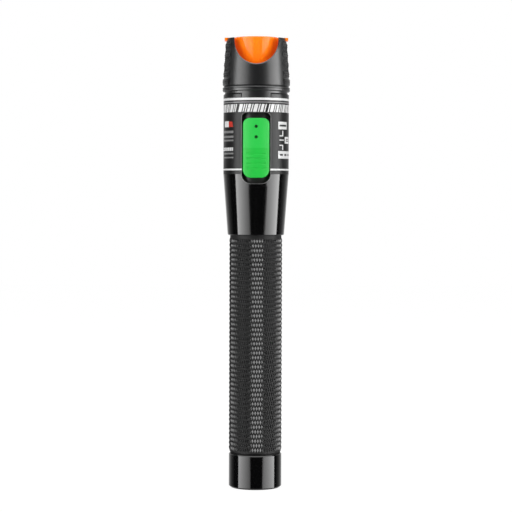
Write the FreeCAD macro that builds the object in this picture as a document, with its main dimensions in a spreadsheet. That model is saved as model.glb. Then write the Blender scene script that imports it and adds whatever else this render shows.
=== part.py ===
"""Visual fault locator, pen type, for 2.5 mm ferrules, powered by two AA cells.

Millimetres. The pen stands on its tail: the origin is the centre of the flat tail end,
+Z runs along the pen to the dust cap, and the slide button faces -Y.
"""
import FreeCAD, Part
import math
import os

import Sketcher
from FreeCAD import Rotation, Vector

doc = FreeCAD.newDocument("FaultLocator")
sheet = doc.addObject("Spreadsheet::Sheet", "Sizes")
parts = []


# ---------------------------------------------------------------- sizes and expressions

class Size:
    """A number and the expression over the spreadsheet that gives it."""

    def __init__(self, text, value):
        self.text = text
        self.value = value

    def __add__(self, other):
        return combine(self, "+", other)

    def __radd__(self, other):
        return combine(other, "+", self)

    def __sub__(self, other):
        return combine(self, "-", other)

    def __rsub__(self, other):
        return combine(other, "-", self)

    def __mul__(self, other):
        return combine(self, "*", other)

    def __rmul__(self, other):
        return combine(other, "*", self)

    def __truediv__(self, other):
        return combine(self, "/", other)

    def __neg__(self):
        return combine(0, "-", self)


def as_size(item):
    if isinstance(item, Size):
        return item
    return Size(repr(item), float(item))


def combine(left, sign, right):
    left, right = as_size(left), as_size(right)
    results = {
        "+": left.value + right.value,
        "-": left.value - right.value,
        "*": left.value * right.value,
        "/": left.value / right.value if right.value else 0.0,
    }
    return Size(f"({left.text} {sign} {right.text})", results[sign])


rows = iter(range(1, 200))


def size(name, value):
    """Write one driving dimension into the spreadsheet and hand it back."""
    row = next(rows)
    sheet.set(f"A{row}", name)
    sheet.set(f"B{row}", str(value))
    sheet.setAlias(f"B{row}", name)
    return Size(f"Sizes.{name}", float(value))


# Gaps
thread_gap = size("thread_gap", 0.15)
seat_gap = size("seat_gap", 0.1)
run_gap = size("run_gap", 0.3)
touch_gap = size("touch_gap", 0.05)
edge_break = size("edge_break", 0.3)

# AA cells
cell_radius = size("cell_radius", 7.25)
cell_length = size("cell_length", 50.5)
cell_gap = size("cell_gap", 0.35)
nub_radius = size("nub_radius", 2.75)
nub_height = size("nub_height", 1.4)

# Tail cap, its contact and spring
tail_cap_length = size("tail_cap_length", 13.2)
tail_cap_radius = size("tail_cap_radius", 10.25)
tail_floor = size("tail_floor", 2.4)
tail_bevel = size("tail_bevel", 0.6)
contact_thickness = size("contact_thickness", 0.5)
contact_rim = size("contact_rim", 0.8)
spring_radius = size("spring_radius", 5.0)
spring_top_radius = size("spring_top_radius", 3.2)
spring_wire = size("spring_wire", 0.4)
spring_height = size("spring_height", 5.4)
spring_turns = size("spring_turns", 3.5)

# Battery tube
tube_radius = size("tube_radius", 10.25)
relief_length = size("relief_length", 0.8)
relief_depth = size("relief_depth", 0.5)
spigot_wall = size("spigot_wall", 1.3)
tail_spigot_length = size("tail_spigot_length", 7.6)
head_spigot_length = size("head_spigot_length", 9.0)
cell_reach = size("cell_reach", 11.3)
ring_wire = size("ring_wire", 0.4)
ring_offset = size("ring_offset", 1.2)
ring_gap = size("ring_gap", 0.03)

# Barrel and label
foot_radius = size("foot_radius", 10.95)
barrel_radius = size("barrel_radius", 12.67)
barrel_wall = size("barrel_wall", 2.0)
straight_length = size("straight_length", 31.2)
barrel_bevel = size("barrel_bevel", 0.5)
label_length = size("label_length", 29.15)
label_margin = size("label_margin", 1.9)
label_thickness = size("label_thickness", 0.1)
slot_top_corner = size("slot_top_corner", 1.6)
slot_side_gap = size("slot_side_gap", 0.3)

# Contact holder under the electronics
holder_rise = size("holder_rise", 2.0)
holder_flange = size("holder_flange", 1.5)
pin_radius = size("pin_radius", 0.7)

# Slide button, base and switch
button_width = size("button_width", 10.07)
button_length = size("button_length", 22.8)
button_top_corner = size("button_top_corner", 2.4)
button_foot_corner = size("button_foot_corner", 3.1)
button_proud = size("button_proud", 1.2)
button_slope = size("button_slope", 0.45)
button_round = size("button_round", 0.45)
travel = size("travel", 1.95)
base_cover = size("base_cover", 1.1)
base_thickness = size("base_thickness", 0.75)
base_width = size("base_width", 12.6)
grip_rib_pitch = size("grip_rib_pitch", 1.9)
grip_rib_depth = size("grip_rib_depth", 0.18)
grip_rib_width = size("grip_rib_width", 7.6)
dot_radius = size("dot_radius", 0.62)
dot_depth = size("dot_depth", 0.4)
dot_spacing = size("dot_spacing", 4.0)
dot_drop = size("dot_drop", 3.2)
switch_width = size("switch_width", 7.2)
switch_height = size("switch_height", 4.0)
switch_length = size("switch_length", 11.0)
lever_width = size("lever_width", 2.0)
lever_length = size("lever_length", 2.6)
lever_depth = size("lever_depth", 1.0)
lever_reach = size("lever_reach", 3.4)
boss_wall = size("boss_wall", 1.6)

# Board and carrier
board_width = size("board_width", 16.4)
board_thickness = size("board_thickness", 1.2)
board_margin = size("board_margin", 0.5)
carrier_wall = size("carrier_wall", 1.4)
carrier_web = size("carrier_web", 3.0)
screw_spacing = size("screw_spacing", 12.4)
screw_radius = size("screw_radius", 0.8)
screw_head_radius = size("screw_head_radius", 1.4)
screw_head_height = size("screw_head_height", 0.9)
screw_length = size("screw_length", 4.0)

# Pieces on the board
chip_width = size("chip_width", 3.9)
chip_length = size("chip_length", 4.9)
chip_height = size("chip_height", 1.25)
chip_rise = size("chip_rise", 7.9)
leg_pitch = size("leg_pitch", 1.27)
leg_width = size("leg_width", 0.4)
leg_span = size("leg_span", 5.8)
leg_height = size("leg_height", 0.25)
trimmer_radius = size("trimmer_radius", 1.9)
trimmer_height = size("trimmer_height", 1.6)
trimmer_slot = size("trimmer_slot", 0.5)
trimmer_rise = size("trimmer_rise", 2.75)
capacitor_width = size("capacitor_width", 1.6)
capacitor_length = size("capacitor_length", 3.2)
capacitor_height = size("capacitor_height", 0.9)
capacitor_spacing = size("capacitor_spacing", 10.8)
clip_height = size("clip_height", 2.4)
clip_thickness = size("clip_thickness", 0.25)
clip_overlap = size("clip_overlap", 1.2)

# Adapter base, port, sleeve and laser
adapter_depth = size("adapter_depth", 2.45)
neck_radius = size("neck_radius", 8.2)
neck_height = size("neck_height", 4.5)
port_thread_radius = size("port_thread_radius", 4.2)
port_radius = size("port_radius", 3.6)
port_flange_radius = size("port_flange_radius", 5.6)
port_flange_height = size("port_flange_height", 1.2)
port_height = size("port_height", 9.1)
port_lip = size("port_lip", 0.7)
mouth_radius = size("mouth_radius", 1.6)
sleeve_bore = size("sleeve_bore", 1.25)
sleeve_wall = size("sleeve_wall", 0.7)
sleeve_length = size("sleeve_length", 10.4)
sleeve_slit = size("sleeve_slit", 0.5)
beam_radius = size("beam_radius", 0.9)
laser_radius = size("laser_radius", 4.9)
laser_rise = size("laser_rise", 1.0)
laser_nose = size("laser_nose", 1.2)
lead_radius = size("lead_radius", 0.22)
lead_circle = size("lead_circle", 1.27)
diode_radius = size("diode_radius", 2.8)
diode_flange = size("diode_flange", 1.2)
can_radius = size("can_radius", 1.9)
can_height = size("can_height", 2.3)
lens_radius = size("lens_radius", 2.0)
lens_thickness = size("lens_thickness", 1.5)
lens_curve = size("lens_curve", 3.2)
lens_ring_height = size("lens_ring_height", 0.8)

# Head guard
guard_height = size("guard_height", 21.3)
guard_lip_radius = size("guard_lip_radius", 12.1)
guard_lip_height = size("guard_lip_height", 0.75)
guard_ring_radius = size("guard_ring_radius", 13.03)
guard_ring_height = size("guard_ring_height", 1.75)
guard_line_drop = size("guard_line_drop", 0.55)
guard_line_width = size("guard_line_width", 0.25)
guard_line_depth = size("guard_line_depth", 0.15)
guard_groove = size("guard_groove", 0.6)
guard_groove_depth = size("guard_groove_depth", 0.55)
guard_base_radius = size("guard_base_radius", 12.8)
guard_top_radius = size("guard_top_radius", 11.56)
guard_wall = size("guard_wall", 1.2)
grip_angle = size("grip_angle", 68)
grip_band_height = size("grip_band_height", 2.7)
guard_rib_height = size("guard_rib_height", 0.18)
guard_rib_margin = size("guard_rib_margin", 0.82)
guard_rib_base = size("guard_rib_base", 2.2)
guard_rib_crest = size("guard_rib_crest", 0.8)
scallop_width = size("scallop_width", 16.8)
scallop_depth = size("scallop_depth", 9.25)
scallop_drop = size("scallop_drop", 0.95)
scallop_bevel = size("scallop_bevel", 0.4)
key_angle = size("key_angle", 51)
key_length = size("key_length", 1.75)
key_gap_angle = size("key_gap_angle", 1.5)

# Dust cap
cap_gap = size("cap_gap", 1.5)
cap_height = size("cap_height", 12.1)
cap_rise = size("cap_rise", 0.4)
cap_taper = size("cap_taper", 2.7)
cap_bevel = size("cap_bevel", 0.4)
cap_rim = size("cap_rim", 1.3)
cap_dish = size("cap_dish", 0.5)
socket_gap = size("socket_gap", 0.12)
tab_width = size("tab_width", 5.2)
tab_overhang = size("tab_overhang", 0.7)
tab_height = size("tab_height", 1.15)
notch_depth = size("notch_depth", 0.95)

doc.recompute()


# ---------------------------------------------------------------- derived places

cell_bore = cell_radius + cell_gap
spigot_radius = cell_bore + spigot_wall
tail_bore = spigot_radius + thread_gap
contact_foot = tail_floor + seat_gap
spring_foot = contact_foot + contact_thickness
cell_foot = spring_foot + spring_height
cell_top = cell_foot + 2 * cell_length
grip_foot = tail_cap_length + relief_length
barrel_foot = cell_top - cell_reach
grip_length = barrel_foot - grip_foot
cavity_radius = barrel_radius - barrel_wall
cavity_foot = cell_top + holder_rise
holder_top = cavity_foot + holder_flange
base_length = button_length + 4 * travel + 2 * base_cover
base_run = base_length + 2 * travel
switch_centre = holder_top + run_gap + base_run / 2
adapter_foot = holder_top + 2 * run_gap + base_run
barrel_top = adapter_foot + adapter_depth
barrel_length = barrel_top - barrel_foot
slot_length = button_length + 2 * travel
slot_width = button_width + 2 * slot_side_gap
slot_foot_corner = button_foot_corner + slot_side_gap
board_foot = holder_top + run_gap
board_length = switch_centre + switch_length / 2 + board_margin - board_foot
base_radius = cavity_radius - run_gap
guard_top = barrel_top + guard_height
scallop_centre = guard_top - scallop_drop
cap_top = guard_top + cap_rise
cap_foot = cap_top - cap_height
guard_mouth_radius = guard_top_radius - guard_wall
plug_top_radius = guard_mouth_radius - cap_gap
plug_foot_radius = plug_top_radius - cap_taper
tab_reach = guard_top_radius + tab_overhang
port_foot = adapter_foot
port_top = barrel_top + neck_height + port_height
sleeve_radius = sleeve_bore + sleeve_wall


# ---------------------------------------------------------------- building blocks

def bind(obj, prop, item):
    """Tie one property to its expression, and set its value at once."""
    item = as_size(item)
    if "Sizes." in item.text:
        obj.setExpression(prop, item.text)


def place(obj, x=0, y=0, z=0, rotation=None):
    """Put an object at a point given by sizes, with an optional fixed rotation."""
    point = [as_size(item) for item in (x, y, z)]
    obj.Placement = FreeCAD.Placement(Vector(*[item.value for item in point]), rotation or Rotation())
    for axis, item in zip("xyz", point):
        bind(obj, f"Placement.Base.{axis}", item)


def finish(obj, label):
    """Name a sub-part and put it on the list of files to write."""
    obj.Label = label
    parts.append(obj)
    return obj


def origin_plane(body, role):
    return next(item for item in body.Origin.OriginFeatures if item.Role == role)


def pin_point(sketch, geometry, end, point):
    """Hold one end of a sketch line at a point given by two sizes."""
    for kind, axis, item in (("DistanceX", -2, point[0]), ("DistanceY", -1, point[1])):
        item = as_size(item)
        if item.text in ("0", "0.0"):
            sketch.addConstraint(Sketcher.Constraint("PointOnObject", geometry, end, axis))
            continue
        index = sketch.addConstraint(Sketcher.Constraint(kind, -1, 1, geometry, end, item.value))
        if "Sizes." in item.text:
            sketch.setExpression(f"Constraints[{index}]", item.text)


def draw_outline(sketch, points):
    """Draw one closed outline of straight lines through points given by sizes."""
    corners = [Vector(as_size(x).value, as_size(y).value, 0) for x, y in points]
    lines = []
    for start, end in zip(corners, corners[1:] + corners[:1]):
        lines.append(sketch.addGeometry(Part.LineSegment(start, end), False))
    for line, following in zip(lines, lines[1:] + lines[:1]):
        sketch.addConstraint(Sketcher.Constraint("Coincident", line, 2, following, 1))
    for line, point in zip(lines, points):
        pin_point(sketch, line, 1, point)


def new_sketch(body, outlines, role="XZ_Plane"):
    sketch = body.newObject("Sketcher::SketchObject", "Outline")
    sketch.AttachmentSupport = [(origin_plane(body, role), "")]
    sketch.MapMode = "FlatFace"
    for points in outlines:
        draw_outline(sketch, points)
    return sketch


def revolve(body, outlines, angle=360):
    """Turn outlines of (radius, height) about Z; a part turn is centred on +X."""
    sketch = new_sketch(body, outlines)
    feature = body.newObject("PartDesign::Revolution", "Turned")
    feature.Profile = sketch
    feature.ReferenceAxis = (sketch, ["V_Axis"])
    feature.Angle = as_size(angle).value
    bind(feature, "Angle", angle)
    if as_size(angle).value < 360:
        feature.Midplane = True
    body.Tip = feature
    return feature


def turned(name, *outlines, z=0, angle=360, rotation=None):
    """A body turned about Z from outlines of (radius, height)."""
    body = doc.addObject("PartDesign::Body", name)
    revolve(body, outlines, angle)
    place(body, z=z, rotation=rotation)
    return body


def block(name, x, y, z, centre, corner=(False, False, False)):
    """A box of sizes x, y, z; centre is its middle, or its low corner where corner is True."""
    box = doc.addObject("Part::Box", name)
    low = []
    for prop, item, middle, at_corner in zip(("Length", "Width", "Height"), (x, y, z), centre, corner):
        item = as_size(item)
        setattr(box, prop, item.value)
        bind(box, prop, item)
        low.append(middle if at_corner else middle - item / 2)
    place(box, *low)
    return box


def rod(name, radius, length, x=0, y=0, z=0, rotation=None):
    """A cylinder along Z, or along the way a rotation turns it."""
    cylinder = doc.addObject("Part::Cylinder", name)
    for prop, item in (("Radius", radius), ("Height", length)):
        item = as_size(item)
        setattr(cylinder, prop, item.value)
        bind(cylinder, prop, item)
    place(cylinder, x, y, z, rotation)
    return cylinder


def fuse(name, pieces):
    result = doc.addObject("Part::MultiFuse", name)
    result.Shapes = pieces
    return result


def cut(name, base, tool):
    result = doc.addObject("Part::Cut", name)
    result.Base = base
    result.Tool = tool
    return result


def common(name, base, tool):
    result = doc.addObject("Part::Common", name)
    result.Base = base
    result.Tool = tool
    return result


def round_edges(name, base, radius, wanted):
    """Round the edges that wanted(edge) picks."""
    doc.recompute()
    result = doc.addObject("Part::Fillet", name)
    result.Base = base
    chosen = [number for number, edge in enumerate(base.Shape.Edges, 1) if wanted(edge)]
    result.Edges = [(number, radius.value, radius.value) for number in chosen]
    return result


def bevel_edges(name, base, width, wanted):
    """Bevel the edges that wanted(edge) picks."""
    doc.recompute()
    result = doc.addObject("Part::Chamfer", name)
    result.Base = base
    chosen = [number for number, edge in enumerate(base.Shape.Edges, 1) if wanted(edge)]
    result.Edges = [(number, width.value, width.value) for number in chosen]
    return result


def runs_along_y(height, least):
    """A test for edges that run along Y at a height, and are longer than the least."""
    def wanted(edge):
        ends = [vertex.Point for vertex in edge.Vertexes]
        level = all(abs(point.z - height) < 1e-6 for point in ends)
        return level and abs(ends[0].y - ends[-1].y) > least
    return wanted


def radius_at(point):
    return math.hypot(point.x, point.y)


RIB_COUNT = 4
GRIP_COUNT = 4
TO_FRONT = Rotation(Vector(0, 0, 1), -90)
ALONG_Y = Rotation(Vector(1, 0, 0), -90)
TO_PLUS_Y = Rotation(Vector(0, 0, 1), 90)


# ---------------------------------------------------------------- tail

def make_tail_cap():
    """Gloss turned cap: a flat, bevelled end and a threaded bore over the tube's spigot."""
    length = tail_cap_length - touch_gap
    cap = turned("TailCap", [
        (0, 0),
        (tail_cap_radius - tail_bevel, 0),
        (tail_cap_radius, tail_bevel),
        (tail_cap_radius, length - edge_break),
        (tail_cap_radius - edge_break, length),
        (tail_bore, length),
        (tail_bore, tail_floor),
        (0, tail_floor),
    ])
    finish(cap, "tail_cap")


def make_tail_contact():
    """Plated disc that floats on the cap's floor, with a rim round the spring's foot."""
    disc_radius = tail_bore - run_gap
    rim_inner = spring_radius + spring_wire + seat_gap
    rim_outer = rim_inner + contact_thickness
    contact = turned("TailContact", [
        (0, 0),
        (disc_radius, 0),
        (disc_radius, contact_thickness),
        (rim_outer, contact_thickness),
        (rim_outer, contact_thickness + contact_rim),
        (rim_inner, contact_thickness + contact_rim),
        (rim_inner, contact_thickness),
        (0, contact_thickness),
    ], z=contact_foot)
    finish(contact, "tail_contact")


def make_tail_spring():
    """Conical compression spring of six-sided wire between the contact disc and the lower cell."""
    coil_height = spring_height - 2 * spring_wire - 2 * touch_gap
    spine = doc.addObject("Part::Helix", "SpringSpine")
    slope = math.degrees(math.atan2((spring_top_radius - spring_radius).value, coil_height.value))
    spine.Pitch = (coil_height / spring_turns).value
    spine.Height = coil_height.value
    spine.Radius = spring_radius.value
    spine.Angle = slope
    bind(spine, "Pitch", coil_height / spring_turns)
    bind(spine, "Height", coil_height)
    bind(spine, "Radius", spring_radius)
    section = doc.addObject("Part::RegularPolygon", "SpringSection")
    section.Polygon = 6
    section.Circumradius = spring_wire.value
    bind(section, "Circumradius", spring_wire)
    place(section, x=spring_radius, rotation=Rotation(Vector(1, 0, 0), 90))
    spring = doc.addObject("Part::Sweep", "TailSpring")
    spring.Sections = [section]
    spring.Spine = (spine, ["Edge1"])
    spring.Solid = True
    spring.Frenet = True
    place(spring, z=spring_foot + spring_wire + touch_gap)
    finish(spring, "tail_spring")


# ---------------------------------------------------------------- cells and tube

def make_cell(name, label, z):
    """One AA cell: a can with broken edges and its positive nub."""
    can_top = cell_length - nub_height
    cell = turned(name, [
        (0, 0),
        (cell_radius - edge_break, 0),
        (cell_radius, edge_break),
        (cell_radius, can_top - edge_break),
        (cell_radius - edge_break, can_top),
        (nub_radius, can_top),
        (nub_radius, cell_length),
        (0, cell_length),
    ], z=z)
    finish(cell, label)


ring_middle = tail_bore - ring_gap - ring_wire
groove_floor = ring_middle - ring_wire - ring_gap
groove_width = 2 * ring_wire + 2 * seat_gap


def make_battery_tube():
    """Tube with a plain grip length and a threaded, grooved spigot at each end."""
    shoulder = tail_spigot_length
    tail_groove = shoulder - ring_offset
    grip_start = shoulder + relief_length
    grip_end = grip_start + grip_length
    head_groove = grip_end + ring_offset
    top = grip_end + head_spigot_length
    relief_radius = tube_radius - relief_depth
    tube = turned("BatteryTube", [
        (cell_bore, 0),
        (spigot_radius - edge_break, 0),
        (spigot_radius, edge_break),
        (spigot_radius, tail_groove - groove_width),
        (groove_floor, tail_groove - groove_width),
        (groove_floor, tail_groove),
        (spigot_radius, tail_groove),
        (spigot_radius, shoulder),
        (relief_radius, shoulder),
        (relief_radius, grip_start),
        (tube_radius, grip_start),
        (tube_radius, grip_end),
        (spigot_radius, grip_end),
        (spigot_radius, head_groove),
        (groove_floor, head_groove),
        (groove_floor, head_groove + groove_width),
        (spigot_radius, head_groove + groove_width),
        (spigot_radius, top - edge_break),
        (spigot_radius - edge_break, top),
        (cell_bore, top),
    ], z=tail_cap_length - tail_spigot_length)
    finish(tube, "battery_tube")


def make_o_ring(name, label, z):
    """Rubber ring in its groove, of eight-sided section, squeezed to the bore that it seals."""
    flat = ring_wire * math.tan(math.pi / 8)
    ring = turned(name, [
        (ring_middle - flat, -ring_wire),
        (ring_middle + flat, -ring_wire),
        (ring_middle + ring_wire, -flat),
        (ring_middle + ring_wire, flat),
        (ring_middle + flat, ring_wire),
        (ring_middle - flat, ring_wire),
        (ring_middle - ring_wire, flat),
        (ring_middle - ring_wire, -flat),
    ], z=z)
    finish(ring, label)


# ---------------------------------------------------------------- barrel and label

def make_slot_cutter():
    """Upright slot through the front wall: tight corners above, round corners below."""
    reach = 2 * barrel_radius
    box = block("SlotBox", slot_width, reach, slot_length,
                (0, -barrel_radius * 1.5, switch_centre))
    top = (switch_centre + slot_length / 2).value
    foot = (switch_centre - slot_length / 2).value
    upper = round_edges("SlotUpper", box, slot_top_corner, runs_along_y(top, barrel_radius.value))
    return round_edges("SlotCutter", upper, slot_foot_corner, runs_along_y(foot, barrel_radius.value))


def make_barrel(slot):
    """Turned barrel: tapered skirt, straight label length, stepped bore, slot and key notch."""
    thread_bore = spigot_radius + thread_gap
    thread_depth = head_spigot_length + seat_gap
    shoulder = barrel_length - straight_length
    label_foot = barrel_length - label_margin - label_length
    label_top = barrel_length - label_margin
    seat_radius = barrel_radius - label_thickness
    blank = turned("BarrelBlank", [
        (thread_bore, 0),
        (foot_radius - edge_break, 0),
        (foot_radius, edge_break),
        (barrel_radius, shoulder),
        (barrel_radius, label_foot),
        (seat_radius, label_foot),
        (seat_radius, label_top),
        (barrel_radius, label_top),
        (barrel_radius, barrel_length - barrel_bevel),
        (barrel_radius - barrel_bevel, barrel_length),
        (cavity_radius, barrel_length),
        (cavity_radius, cavity_foot - barrel_foot),
        (cell_bore, cavity_foot - barrel_foot),
        (cell_bore, thread_depth),
        (thread_bore, thread_depth),
    ], z=barrel_foot)
    notch = turned("KeyNotch", [
        (cavity_radius - run_gap, 0),
        (barrel_radius + run_gap, 0),
        (barrel_radius + run_gap, key_length + run_gap),
        (cavity_radius - run_gap, key_length + run_gap),
    ], z=barrel_top - key_length, angle=key_angle + 2 * key_gap_angle, rotation=TO_FRONT)
    slotted = cut("BarrelSlotted", blank, slot)
    finish(cut("Barrel", slotted, notch), "barrel")


def make_label(slot):
    """Printed film wrapped flush in the barrel's shallow seat, open at the slot."""
    film = turned("LabelFilm", [
        (barrel_radius - label_thickness, 0),
        (barrel_radius, 0),
        (barrel_radius, label_length),
        (barrel_radius - label_thickness, label_length),
    ], z=barrel_top - label_margin - label_length)
    finish(cut("Label", film, slot), "label_wrap")


# ---------------------------------------------------------------- contacts

def make_contact_holder():
    """Moulded plug on the cavity's floor, with a recess over the upper cell's nub."""
    recess_radius = nub_radius + 2 * run_gap
    foot = cell_top - nub_height / 2
    holder = turned("ContactHolder", [
        (recess_radius, 0),
        (cell_bore - seat_gap, 0),
        (cell_bore - seat_gap, cavity_foot - foot),
        (cavity_radius - seat_gap, cavity_foot - foot),
        (cavity_radius - seat_gap, holder_top - foot),
        (pin_radius + touch_gap, holder_top - foot),
        (pin_radius + touch_gap, cell_top + contact_thickness - foot),
        (recess_radius, cell_top + contact_thickness - foot),
    ], z=foot)
    finish(holder, "contact_holder")


def make_positive_contact():
    """Plated disc and pin that carry current from the upper cell to the board."""
    pin_top = board_foot - touch_gap - cell_top
    contact = turned("PositiveContact", [
        (0, 0),
        (nub_radius, 0),
        (nub_radius, contact_thickness),
        (pin_radius, contact_thickness),
        (pin_radius, pin_top),
        (0, pin_top),
    ], z=cell_top)
    finish(contact, "positive_contact")


def make_ground_clip():
    """Spring strip from the board's front face to the barrel's wall."""
    start = board_width / 2 - clip_overlap
    clip = block("GroundClip", cavity_radius - run_gap - start, clip_thickness, clip_height,
                 (start, -board_thickness - clip_thickness, board_foot + chip_rise),
                 corner=(True, True, False))
    finish(clip, "ground_clip")


# ---------------------------------------------------------------- board and carrier

def make_board():
    """Circuit board: its back lies on the plane through the pen's axis."""
    board = block("BoardBlank", board_width, board_thickness, board_length,
                  (0, -board_thickness, board_foot), corner=(False, True, True))
    holes = [rod(f"BoardHole{number}", screw_radius + touch_gap, 3 * board_thickness,
                 x, -2 * board_thickness, z, ALONG_Y)
             for number, (x, z) in enumerate(screw_places())]
    finish(cut("Board", board, fuse("BoardHoles", holes)), "circuit_board")


def screw_places():
    low = board_foot + carrier_web / 2
    high = board_foot + board_length - carrier_web / 2
    return [(side * screw_spacing / 2, z) for z in (low, high) for side in (-1, 1)]


def make_carrier():
    """Half shell behind the board with a thick web at each end for the screws."""
    outer = cavity_radius - seat_gap
    inner = outer - carrier_wall
    top = board_length
    shell = turned("CarrierShell", [
        (0, 0),
        (outer, 0),
        (outer, top),
        (0, top),
        (0, top - carrier_web),
        (inner, top - carrier_web),
        (inner, carrier_web),
        (0, carrier_web),
    ], z=board_foot, angle=180, rotation=TO_PLUS_Y)
    holes = [rod(f"CarrierHole{number}", screw_radius, screw_length, x, -touch_gap, z, ALONG_Y)
             for number, (x, z) in enumerate(screw_places())]
    finish(cut("Carrier", shell, fuse("CarrierHoles", holes)), "board_carrier")


def make_carrier_screws():
    """Four small screws through the board into the carrier's webs."""
    pieces = []
    for number, (x, z) in enumerate(screw_places()):
        face = -board_thickness
        head = rod(f"ScrewHead{number}", screw_head_radius, screw_head_height,
                   x, face - screw_head_height, z, ALONG_Y)
        shank = rod(f"ScrewShank{number}", screw_radius, screw_length - 2 * seat_gap, x, face, z, ALONG_Y)
        pieces.append(fuse(f"Screw{number}", [head, shank]))
    screws = doc.addObject("Part::Compound", "CarrierScrews")
    screws.Links = pieces
    finish(screws, "carrier_screws")


def make_driver_chip():
    """Eight-legged driver chip on the board's front face."""
    middle = board_foot + chip_rise
    leg_face = -board_thickness - leg_height
    body = block("ChipBody", chip_width, chip_height, chip_length,
                 (0, leg_face - chip_height, middle), corner=(False, True, False))
    legs = [block(f"ChipLeg{number}", leg_span, leg_height, leg_width,
                  (0, leg_face, middle + leg_pitch * (number - 1.5)), corner=(False, True, False))
            for number in range(4)]
    finish(fuse("DriverChip", [body] + legs), "driver_chip")


def make_trimmer():
    """Power trimmer with a slot for a screwdriver."""
    middle = board_foot + trimmer_rise
    face = -board_thickness - trimmer_height
    drum = rod("TrimmerDrum", trimmer_radius, trimmer_height, 0, face, middle, ALONG_Y)
    groove = block("TrimmerSlot", 2 * trimmer_radius, trimmer_slot, trimmer_slot, (0, face, middle))
    finish(cut("Trimmer", drum, groove), "power_trimmer")


def make_capacitors():
    """Two chip capacitors, one at each side of the driver chip."""
    chips = [block(f"Capacitor{number}", capacitor_width, capacitor_height, capacitor_length,
                   (side * capacitor_spacing / 2, -board_thickness - capacitor_height,
                    board_foot + chip_rise), corner=(False, True, False))
             for number, side in enumerate((-1, 1))]
    pair = doc.addObject("Part::Compound", "Capacitors")
    pair.Links = chips
    finish(pair, "board_capacitors")


# ---------------------------------------------------------------- switch and button

switch_face = -board_thickness - switch_height
lever_top = switch_face - lever_reach


def make_switch_body():
    """Three-position slide switch soldered to the board, with the lever's recess."""
    body = block("SwitchBlank", switch_width, switch_height, switch_length,
                 (0, switch_face, switch_centre), corner=(False, True, False))
    recess = block("SwitchRecess", lever_width + 2 * run_gap, lever_depth + run_gap,
                   lever_length + 2 * travel + 2 * run_gap,
                   (0, switch_face, switch_centre), corner=(False, True, False))
    finish(cut("SwitchBody", body, recess), "switch_body")


def make_switch_lever():
    """Lever of the slide switch, held in the slide base's pocket."""
    lever = block("SwitchLever", lever_width, switch_face + lever_depth - lever_top, lever_length,
                  (0, lever_top, switch_centre), corner=(False, True, False))
    finish(lever, "switch_lever")


def make_slide_base():
    """Curved skirt that closes the slot from inside and drives the switch lever."""
    half_angle = math.degrees(math.asin(base_width.value / 2 / base_radius.value))
    skirt = turned("BaseSkirt", [
        (base_radius - base_thickness, 0),
        (base_radius, 0),
        (base_radius, base_length),
        (base_radius - base_thickness, base_length),
    ], z=switch_centre - base_length / 2, angle=2 * half_angle, rotation=TO_FRONT)
    boss_face = base_thickness - base_radius - touch_gap
    boss_root = lever_top + boss_wall
    boss = block("BaseBoss", lever_width + 2 * boss_wall, boss_root - boss_face, lever_length + 2 * boss_wall,
                 (0, boss_face, switch_centre), corner=(False, True, False))
    pocket = block("BasePocket", lever_width + 2 * touch_gap, boss_root - lever_top + touch_gap,
                   lever_length + 2 * touch_gap,
                   (0, lever_top - touch_gap, switch_centre), corner=(False, True, False))
    base = fuse("BaseJoined", [skirt, boss])
    finish(cut("SlideBase", base, pocket), "slide_base")


def make_slide_button():
    """Raised thumb pad: rounded outline, sloped upper half, grip ribs and two dots."""
    outer = barrel_radius + button_proud
    inner = base_radius + touch_gap
    half = button_length / 2
    low = switch_centre - half
    shell = turned("ButtonShell", [
        (inner, 0),
        (outer, 0),
        (outer, half),
        (outer - button_slope, button_length),
        (inner, button_length),
    ], z=low)
    pad = block("ButtonBlock", button_width, outer, button_length,
                (0, -outer, switch_centre), corner=(False, True, False))

    top, foot = (low + button_length).value, low.value
    pad = round_edges("ButtonTop", pad, button_top_corner, runs_along_y(top, outer.value / 2))
    pad = round_edges("ButtonOutline", pad, button_foot_corner, runs_along_y(foot, outer.value / 2))
    pad = common("ButtonRaw", pad, shell)

    def outer_rim(edge):
        points = [edge.valueAt(edge.FirstParameter + share * (edge.LastParameter - edge.FirstParameter))
                  for share in (0.1, 0.5, 0.9)]
        proud = all(radius_at(point) > outer.value - button_slope.value - 0.05 for point in points)
        across = all(abs(point.z - switch_centre.value) < 1e-3 for point in points)
        return proud and not across

    pad = round_edges("ButtonRounded", pad, button_round, outer_rim)
    marks = [rod(f"ButtonDot{number}", dot_radius, outer, 0, -outer - 1,
                 switch_centre + half - dot_drop - number * dot_spacing, ALONG_Y) for number in range(2)]
    dots = common("ButtonDots", fuse("DotRods", marks), turned("DotDepth", [
        (outer - button_slope - dot_depth, 0),
        (outer + 1, 0),
        (outer + 1, button_length),
        (outer - button_slope - dot_depth, button_length),
    ], z=low))
    ribs = turned("ButtonGrooves", *[
        [
            (outer + 0.1, start),
            (outer + 0.1, start + grip_rib_pitch / 2),
            (outer - grip_rib_depth, start + grip_rib_pitch / 4),
        ]
        for start in [button_foot_corner + grip_rib_pitch * step for step in range(GRIP_COUNT)]
    ], z=low, angle=2 * math.degrees(math.asin(grip_rib_width.value / 2 / outer.value)),
        rotation=TO_FRONT)
    finish(cut("SlideButton", pad, fuse("ButtonMarks", [dots, ribs])), "slide_button")


# ---------------------------------------------------------------- adapter, port and laser

def make_adapter_base():
    """Flanged base in the barrel's mouth; the guard presses over its neck."""
    bore = port_thread_radius + seat_gap
    base = turned("AdapterBase", [
        (bore, 0),
        (cavity_radius - seat_gap, 0),
        (cavity_radius - seat_gap, adapter_depth),
        (neck_radius, adapter_depth),
        (neck_radius, adapter_depth + neck_height - edge_break),
        (neck_radius - edge_break, adapter_depth + neck_height),
        (bore, adapter_depth + neck_height),
    ], z=adapter_foot)
    finish(base, "adapter_base")


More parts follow.
